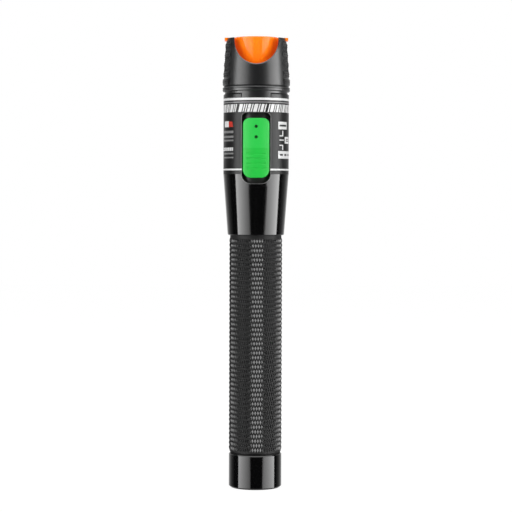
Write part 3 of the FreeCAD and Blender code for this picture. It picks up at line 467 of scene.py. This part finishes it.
PANEL_STEPS = 12
PANEL_DISTANCE = 4.0
# (height, gain) of the side panels' rows, from the lowest.
PANEL_ROWS = ((-3.2, 0.7), (-0.63, 0.7), (-0.45, 1.0), (1.0, 1.0))
TOP_PANEL_HALF = 1.6
TOP_PANEL_HEIGHT = 2.0
TOP_PANEL_BACK = 0.4
TOP_PANEL_LEVEL = 2.2
LAMP_SIZE = (0.5, 0.9)
LAMP_POWER = 6.0
LAMP_AIM_HEIGHT = 0.09


def add_reflected(name, mesh):
    """An object that only reflections see."""
    panel = bpy.data.objects.new(name, mesh)
    bpy.context.scene.collection.objects.link(panel)
    panel.visible_camera = False
    panel.visible_diffuse = False
    panel.visible_shadow = False
    panel.visible_transmission = False
    return panel


def add_softbox(name, low_angle, high_angle, far_angle, near_level, far_level):
    """A far curved panel between angles from the front, in degrees: brighter towards its far
    side, and dimmer and wider below."""
    vertices, faces, levels = [], [], []
    near_angles = (low_angle, low_angle, high_angle, high_angle)
    for near_angle, (height, gain) in zip(near_angles, PANEL_ROWS):
        for step in range(PANEL_STEPS + 1):
            share = step / PANEL_STEPS
            angle = math.radians(near_angle + (far_angle - near_angle) * share)
            vertices.append((PANEL_DISTANCE * math.sin(angle), -PANEL_DISTANCE * math.cos(angle),
                             height))
            levels.append(gain * (near_level + (far_level - near_level) * share))
    across = PANEL_STEPS + 1
    for row in range(len(PANEL_ROWS) - 1):
        for step in range(PANEL_STEPS):
            a = row * across + step
            faces.append((a, a + 1, a + 1 + across, a + across))
    mesh = bpy.data.meshes.new(name)
    mesh.from_pydata(vertices, [], faces)
    layer = mesh.attributes.new("level", "FLOAT", "POINT")
    layer.data.foreach_set("value", levels)
    material = bpy.data.materials.new(name)
    material.use_nodes = True
    tree = material.node_tree
    tree.nodes.clear()
    output = tree.nodes.new("ShaderNodeOutputMaterial")
    glow = tree.nodes.new("ShaderNodeEmission")
    level = tree.nodes.new("ShaderNodeAttribute")
    level.attribute_name = "level"
    tree.links.new(level.outputs["Fac"], glow.inputs["Strength"])
    tree.links.new(glow.outputs[0], output.inputs["Surface"])
    mesh.materials.append(material)
    panel = add_reflected(name, mesh)


def add_top_panel():
    """A wide panel overhead."""
    mesh = flat_square("top_panel", TOP_PANEL_HALF, TOP_PANEL_BACK, TOP_PANEL_HEIGHT)
    material, tree, principled = shader("top_panel", (0, 0, 0), 1.0)
    principled.inputs["Emission Color"].default_value = (1, 1, 1, 1)
    principled.inputs["Emission Strength"].default_value = TOP_PANEL_LEVEL
    mesh.materials.append(material)
    panel = add_reflected("top_panel", mesh)


def add_lamp(name, location):
    """A soft lamp aimed at the object's middle, which reflections don't see."""
    data = bpy.data.lights.new(name, "AREA")
    data.shape = "RECTANGLE"
    data.size, data.size_y = LAMP_SIZE
    data.energy = LAMP_POWER
    lamp = bpy.data.objects.new(name, data)
    lamp.location = location
    aim = Vector((0, 0, LAMP_AIM_HEIGHT)) - lamp.location
    lamp.rotation_euler = aim.to_track_quat("-Z", "Y").to_euler()
    lamp.visible_glossy = False
    bpy.context.scene.collection.objects.link(lamp)


add_camera()
add_floor()
add_world()
add_softbox("left_panel", -20, -28, -78, 1.8, 7.2)
add_softbox("right_panel", 32, 42, 92, 3.1, 8.0)
add_top_panel()
add_lamp("left_lamp", (-0.75, -0.75, 0.45))
add_lamp("right_lamp", (0.8, -0.6, 0.4))


# ---------------------------------------------------------------- battery tube with its knurl

KNURL_STARTS = 64
KNURL_DEPTH = 0.25 * MM
KNURL_TOP = 0.12
KNURL_FOOT = 0.7
KNURL_ROWS = 46
KNURL_PITCH = 1.79 * MM
KNURL_MARGIN = 1.4 * MM
KNURL_REACH = 0.62
KNURL_ROOT = 0.03 * MM
NECK_LENGTH = 0.85 * MM
NECK_START = 0.05 * MM
NECK_DEPTH = 0.5 * MM
GRIP_EDGE = 0.01 * MM
THREAD_PITCH = 1.0 * MM
THREAD_DEPTH = 0.3 * MM
# Where a ridge has risen, falls and ends, as shares of the pitch.
RIDGE_RISE = 0.3
RIDGE_FALL = 0.5
RIDGE_END = 0.8
THREAD_TAIL_MARGIN = 0.2 * MM
THREAD_HEAD_MARGIN = 0.4 * MM
THREAD_RUN_OUT = 1.4 * MM
RING_GROOVE_DEPTH = 0.9 * MM
RING_GROOVE_WIDTH = 1.0 * MM
TAIL_GROOVE_DROP = 1.15 * MM
HEAD_GROOVE_RISE = 1.2 * MM
TUBE_SEGMENTS = 160
# How far below the knurl's foot the deeper painted shade reaches, and how far above it the groove shade
# takes over.
NECK_SHADE_REACH = 0.9 * MM
NECK_SHADE_TOP = 0.1 * MM
OUTSIDE_WALL = 1 * MM


def make_knurl(low):
    """Rows of sharp lozenges with small blunt tops, each row half a step on from the one below,
    as vertices, faces and a list that is true for the faces of the feet, which take a painted shade."""
    half_angle = math.pi / KNURL_STARTS
    corners = ((1, 0), (0, KNURL_REACH), (-1, 0), (0, -KNURL_REACH))
    rings = [(share, TUBE_R - KNURL_DEPTH * (share - KNURL_TOP) / (1 - KNURL_TOP))
             for share in (1.0, KNURL_FOOT, KNURL_TOP)]
    vertices, faces, dark = [], [], []
    for row in range(KNURL_ROWS):
        middle = low + KNURL_PITCH * row
        for start in range(KNURL_STARTS):
            angle = half_angle * (2 * start + row % 2)
            base = len(vertices)
            for share, radius in rings:
                for across, up in corners:
                    turn = angle + across * half_angle * share
                    height = middle + up * KNURL_PITCH * share
                    vertices.append((radius * math.cos(turn), radius * math.sin(turn), height))
            for level in (0, 4):
                for side in range(4):
                    a, b = base + level + side, base + level + (side + 1) % 4
                    faces.append((a, b, b + 4, a + 4))
                    dark.append(level == 0)
            faces.append(tuple(range(base + 8, base + 12)))
            dark.append(False)
    return vertices, faces, dark


def thread(low, high):
    """(r, z) points of ring-shaped thread ridges on the spigot between two heights."""
    root = SPIGOT_R - THREAD_DEPTH
    outline = []
    for ridge in range(int((high - low) / THREAD_PITCH)):
        base = low + ridge * THREAD_PITCH
        outline += [(root, base), (SPIGOT_R, base + RIDGE_RISE * THREAD_PITCH),
                    (SPIGOT_R, base + RIDGE_FALL * THREAD_PITCH), (root, base + RIDGE_END * THREAD_PITCH)]
    return outline


def make_battery_tube():
    """The tube with its threads, O-ring grooves and necks, and the knurl standing on its root."""
    grip_low, grip_high = CAP_TOP + NECK_LENGTH, BARREL_FOOT
    bore = min(r for r, z in points("battery_tube"))
    root = TUBE_R - KNURL_DEPTH - KNURL_ROOT
    neck = TUBE_R - NECK_DEPTH
    groove = SPIGOT_R - RING_GROOVE_DEPTH
    tail_groove_top = CAP_TOP - TAIL_GROOVE_DROP
    tail_groove_foot = tail_groove_top - RING_GROOVE_WIDTH
    head_groove_foot = BARREL_FOOT + HEAD_GROOVE_RISE
    head_groove_top = head_groove_foot + RING_GROOVE_WIDTH
    outline = [(bore, TUBE_FOOT)]
    outline += thread(TUBE_FOOT + THREAD_TAIL_MARGIN, tail_groove_top - THREAD_RUN_OUT)
    outline += [
        (SPIGOT_R, tail_groove_foot), (groove, tail_groove_foot),
        (groove, tail_groove_top), (SPIGOT_R, tail_groove_top),
        (SPIGOT_R, CAP_TOP + NECK_START), (neck, CAP_TOP + NECK_START), (neck, grip_low),
        (root, grip_low), (root, grip_high - GRIP_EDGE),
        (SPIGOT_R, grip_high), (SPIGOT_R, head_groove_foot), (groove, head_groove_foot),
        (groove, head_groove_top), (SPIGOT_R, head_groove_top),
    ]
    outline += thread(head_groove_foot + THREAD_RUN_OUT, TUBE_TOP - THREAD_HEAD_MARGIN)
    outline += [(bore, TUBE_TOP)]
    vertices, faces = lathe(outline, TUBE_SEGMENTS)
    offset = len(vertices)
    knurl_vertices, knurl_faces, dark = make_knurl(grip_low + KNURL_MARGIN)
    vertices += knurl_vertices
    faces += [tuple(index + offset for index in face) for face in knurl_faces]
    tube = new_piece("battery_tube_knurled", vertices, faces, (TUBE_BLACK, GROOVE_PAINTED_SHADE, DEEP_PAINTED_SHADE),
                     "pen", "black_satin", "battery_tube")
    # Painted shade: the root between the lozenges takes the groove shade, and the neck below the knurl the
    # deeper shade.
    for polygon in tube.data.polygons[:-len(knurl_faces)]:
        height, radius = polygon.center.z, polygon.center.xy.length
        if grip_low - NECK_SHADE_REACH < height < grip_high and radius > bore + OUTSIDE_WALL:
            polygon.material_index = 1 if height > grip_low + NECK_SHADE_TOP else 2
    # Painted shade: the feet of the lozenges take the groove shade.
    for polygon, is_dark in zip(tube.data.polygons[-len(knurl_faces):], dark):
        polygon.use_smooth = False
        polygon.material_index = int(is_dark)
    tube.data.set_sharp_from_angle(angle=SHARP_ANGLE)


make_battery_tube()


# ---------------------------------------------------------------- print on the label

INK_RISE = 0.015 * MM
INK_SINK = 0.02 * MM
INK_STEP = math.radians(3)
DASH_SHARE = 0.78
SLOT_ANGLE = 25.5
THIN, MIDDLING, WIDE = 2.2, 5.0, 6.5
TITLE_FOOT = 145.3
TITLE_TOP = 148.3
TITLE_LEAN = 3.5


def ink(name, patches, material, lift=0.0):
    """Thin raised print: each patch is (angle, angle, foot, top, lean) round the label, in
    degrees from the front and metres, with its top edge moved on by lean degrees. The lift sets
    it on other print."""
    face = BARREL_R + lift
    vertices, faces = [], []
    for left, right, low, high, lean in patches:
        start, end, slant = math.radians(left), math.radians(right), math.radians(lean)
        steps = max(1, math.ceil(abs(end - start) / INK_STEP))
        base = len(vertices)
        for step in range(steps + 1):
            turn = start + (end - start) * step / steps
            for radius in (face - INK_SINK, face + INK_RISE):
                for height, move in ((low, 0.0), (high, slant)):
                    vertices.append((radius * math.sin(turn + move), -radius * math.cos(turn + move),
                                     height))
        for step in range(steps):
            a, b = base + 4 * step, base + 4 * step + 4
            faces += [(a + 2, b + 2, b + 3, a + 3), (a, a + 1, b + 1, b), (a + 1, a + 3, b + 3, b + 1),
                      (a, b, b + 2, a + 2)]
        last = base + 4 * steps
        faces += [(base, base + 2, base + 3, base + 1), (last, last + 1, last + 3, last + 2)]
    piece = new_piece(name, vertices, faces, material, "pen", "label_film")
    piece.data.set_sharp_from_angle(angle=SHARP_ANGLE)


def ring(low, high, start=-180.0, end=180.0):
    """A band round the label between two heights in millimetres."""
    return (start, end, low * MM, high * MM, 0.0)


def patch(left, right, low, high, lean=0.0):
    """A patch between two angles in degrees and two heights in millimetres."""
    return (left, right, low * MM, high * MM, lean)


def word(start, gap, widths):
    """A run of slanted bars of several widths in the title's row, standing for a word."""
    found = []
    for width in widths:
        found.append(patch(start, start + width, TITLE_FOOT, TITLE_TOP, TITLE_LEAN))
        start += width + gap
    return found


def dashes(left, right, low, high, count):
    """A line of small print: short bars with narrow gaps between them."""
    pitch = (right - left) / count
    return [patch(left + pitch * i, left + pitch * (i + DASH_SHARE), low, high) for i in range(count)]


def make_print():
    """Generic print of the label: a row of bars, two lines, boxes joined by lines, small print."""
    title = word(-94, 1.7, (THIN, MIDDLING, THIN, THIN, WIDE, THIN, MIDDLING, THIN, WIDE, THIN, THIN))
    title += word(-33, 1.8, (WIDE, THIN, THIN, MIDDLING, THIN, WIDE, THIN, MIDDLING, THIN))
    title += word(20, 1.8, (THIN, WIDE, THIN, MIDDLING, THIN, THIN, WIDE, THIN, MIDDLING, THIN, WIDE,
                            THIN))
    lines = [ring(149.8, 150.7), ring(123.05, 123.7, SLOT_ANGLE, 360 - SLOT_ANGLE)]
    boxes = [patch(42, 68, 138.8, 141.7), patch(60, 80, 133.4, 136.0), patch(42, 84, 127.6, 130.5)]
    joins = [patch(52, 55, 136.4, 138.3), patch(45, 55, 136.1, 136.5), patch(45, 57, 134.5, 134.9),
             patch(52, 55, 130.9, 132.8), patch(45, 55, 132.5, 132.9)]
    badge = [patch(-72, -56, 139.6, 141.9)]
    ink("label_print_white", title + lines + boxes + joins + badge + dashes(-80, -43, 130.5, 131.8, 7),
        WHITE_INK)
    ink("label_print_red", [patch(-55, -44, 139.6, 141.7, -2)], RED_INK)
    grey = [ring(148.85, 149.2)]
    for low, high, left, count in ((137.3, 138.2, -80, 12), (135.5, 136.3, -80, 13),
                                   (134.2, 134.8, -78, 14), (129.2, 129.8, -78, 14),
                                   (127.7, 128.2, -76, 13)):
        grey += dashes(left, -43, low, high, count)
    ink("label_print_grey", grey, GREY_INK)


def make_marks():
    """Signs on the three white boxes: a bar, a ring and three dashes."""
    marks = [patch(45, 65, 139.9, 140.6)]
    marks += [patch(65, 75, 134.1, 134.4), patch(65, 75, 135.0, 135.3), patch(65, 67, 134.1, 135.3),
              patch(73, 75, 134.1, 135.3)]
    marks += [patch(46, 54, 128.7, 129.4), patch(59, 67, 128.7, 129.4), patch(72, 80, 128.7, 129.4)]
    ink("label_print_marks", marks, BLACK_INK, lift=2 * INK_RISE)


make_print()
make_marks()


# ---------------------------------------------------------------- grip texture on the guard

STUD_PITCH = 1.25 * MM
STUD_ROW = 0.8 * MM
STUD_RISE = 0.14 * MM
STUD_PROUD = 0.04 * MM
STUD_HALF_WIDTH = 0.46
STUD_HALF_HEIGHT = 0.92
STUD_EDGE_SINK = 0.03 * MM
STUD_CORE_SINK = 0.15 * MM
STUD_LARGEST_STEP = 0.3 * MM
PANEL_HALF = math.radians(34.0)
PANEL_FOOT_MARGIN = 0.9 * MM
PANEL_TOP_MARGIN = 0.6 * MM


GUARD_SKIN = skin("head_guard")
GUARD_OPEN_R = reach("dust_cap") - 1.0 * MM
GUARD_R = reach("head_guard")


def guard_surface(angle, height):
    """The guard's outer radius at an angle from +X and a height, or None where it is open."""
    outward = Vector((math.cos(angle), math.sin(angle), 0))
    point = GUARD_SKIN.ray_cast(outward * RAY_START + Vector((0, 0, height)), -outward)[0]
    if point is None or point.xy.length < GUARD_OPEN_R:
        return None
    return point.xy.length


def make_grip():
    """Diamond studs over the two side panels of the guard, left out where its surface steps."""
    low, high = BARREL_TOP + PANEL_FOOT_MARGIN, top("head_guard") - PANEL_TOP_MARGIN
    rows = int((high - low) / STUD_ROW)
    pitch = STUD_PITCH / GUARD_R
    count = int(2 * PANEL_HALF / pitch)
    vertices, faces = [], []
    for side in (0.0, math.pi):
        for row in range(rows):
            middle = low + STUD_ROW * (row + 0.5)
            for column in range(count):
                turn = (column - (count - 1) / 2 + 0.5 * (row % 2)) * pitch
                if abs(turn) > PANEL_HALF - 0.5 * pitch:
                    continue
                spots = [(turn + across * pitch * STUD_HALF_WIDTH, middle + up * STUD_ROW * STUD_HALF_HEIGHT)
                         for across, up in ((1, 0), (0, 1), (-1, 0), (0, -1))]
                radii = [guard_surface(side + a, h) for a, h in spots]
                centre = guard_surface(side + turn, middle)
                if centre is None or None in radii or max(radii) - min(radii) > STUD_LARGEST_STEP:
                    continue
                base = len(vertices)
                for (a, h), r in zip(spots, radii):
                    r -= STUD_EDGE_SINK
                    vertices.append((r * math.cos(side + a), r * math.sin(side + a), h))
                tip = min(centre + STUD_RISE, GUARD_R + STUD_PROUD)
                core = min(radii) - STUD_CORE_SINK
                for r in (tip, core):
                    vertices.append((r * math.cos(side + turn), r * math.sin(side + turn), middle))
                for i in range(4):
                    j = (i + 1) % 4
                    faces += [(base + i, base + j, base + 4), (base + j, base + i, base + 5)]
    grip = new_piece("guard_grip_texture", vertices, faces, GRIP_BLACK, "pen", "guard_black")
    for polygon in grip.data.polygons:
        polygon.use_smooth = False


make_grip()


# ---------------------------------------------------------------- edge of the slot

RIM_STEP = 0.5 * MM
RIM_RISE = 0.015 * MM
# Widths from the slot's edge: the painted shade strip reaches out to RIM_MIDDLE, the painted highlight strip
# out to RIM_FAR.
RIM_MIDDLE = 0.21 * MM
RIM_FAR = 0.37 * MM
CORNER_STEPS = 8


def slot_edge():
    """(x, z, outward x, outward z) round the slot's edge, anticlockwise from its right side."""
    turns = []
    for side, end, corner, begin in ((1, 1, SLOT_TOP_CORNER, 0), (-1, 1, SLOT_TOP_CORNER, 90),
                                     (-1, -1, SLOT_FOOT_CORNER, 180), (1, -1, SLOT_FOOT_CORNER, 270)):
        middle_x = side * (SLOT_HALF - corner)
        middle_z = SLOT_TOP - corner if end > 0 else SLOT_FOOT + corner
        for step in range(CORNER_STEPS + 1):
            turn = math.radians(begin + 90 * step / CORNER_STEPS)
            across, up = math.cos(turn), math.sin(turn)
            turns.append((middle_x + corner * across, middle_z + corner * up, across, up))
    edge = []
    for here, there in zip(turns, turns[1:] + turns[:1]):
        count = max(1, math.ceil(math.dist(here[:2], there[:2]) / RIM_STEP))
        for step in range(count):
            edge.append([a + (b - a) * step / count for a, b in zip(here, there)])
    return edge


def make_slot_rim():
    """A dark matt strip of painted shade round the slot's edge, and outside it a pale strip of painted
    highlight standing for light caught on the slot's bevel.
    """
    shells = [skin("barrel"), skin("label_wrap")]
    vertices = []
    for x, z, across, up in slot_edge():
        for out in (RIM_NEAR, RIM_MIDDLE, RIM_FAR):
            start = Vector((x + across * out, -RAY_START, z + up * out))
            hits = [shell.ray_cast(start, Vector((0, 1, 0)))[0] for shell in shells]
            y = min(hit.y for hit in hits if hit)
            for rise in (-RIM_RISE, RIM_RISE):
                vertices.append((start.x, y - rise, start.z))
    count = len(vertices) // 6
    faces, materials = [], []
    for step in range(count):
        a, b = 6 * step, 6 * ((step + 1) % count)
        faces += [(a, b, b + 1, a + 1), (a + 1, b + 1, b + 3, a + 3), (a + 3, b + 3, b + 5, a + 5),
                  (a + 5, b + 5, b + 4, a + 4), (a + 4, b + 4, b, a)]
        materials += [0, 0, 1, 1, 0]
    rim = new_piece("slot_rim", vertices, faces, [DEEP_PAINTED_SHADE, RIM_PAINTED_HIGHLIGHT], "pen", "label_film")
    for polygon, index in zip(rim.data.polygons, materials):
        polygon.material_index = index
    rim.data.set_sharp_from_angle(angle=SHARP_ANGLE)


make_slot_rim()


# ---------------------------------------------------------------- dots on the slider

DOT_HEIGHTS = (139.75 * MM, 135.75 * MM)
DOT_RADIUS = 0.6 * MM
DOT_PROUD = 0.02 * MM
DOT_SINK = 0.05 * MM
DOT_SEGMENTS = 24


def make_dots():
    """Two dark discs of painted shade on the floors of the slider's two dimples, one above the other."""
    button = skin("slide_button")
    vertices, faces = [], []
    for height in DOT_HEIGHTS:
        face = button.ray_cast(Vector((0, -RAY_START, height)), Vector((0, 1, 0)))[0].y
        base = len(vertices)
        for y in (face - DOT_PROUD, face + DOT_SINK):
            for i in range(DOT_SEGMENTS):
                turn = 2 * math.pi * i / DOT_SEGMENTS
                vertices.append((DOT_RADIUS * math.cos(turn), y, height + DOT_RADIUS * math.sin(turn)))
        faces.append(tuple(range(base, base + DOT_SEGMENTS)))
        faces.append(tuple(range(base + 2 * DOT_SEGMENTS - 1, base + DOT_SEGMENTS - 1, -1)))
        for i in range(DOT_SEGMENTS):
            j = (i + 1) % DOT_SEGMENTS
            faces.append((base + i, base + DOT_SEGMENTS + i, base + DOT_SEGMENTS + j, base + j))
    dots = new_piece("slider_dots", vertices, faces, DIMPLE_PAINTED_SHADE, "switch_slider", "button_green")
    dots.data.set_sharp_from_angle(angle=SHARP_ANGLE)


make_dots()


bpy.context.scene.view_settings.view_transform = "Standard"
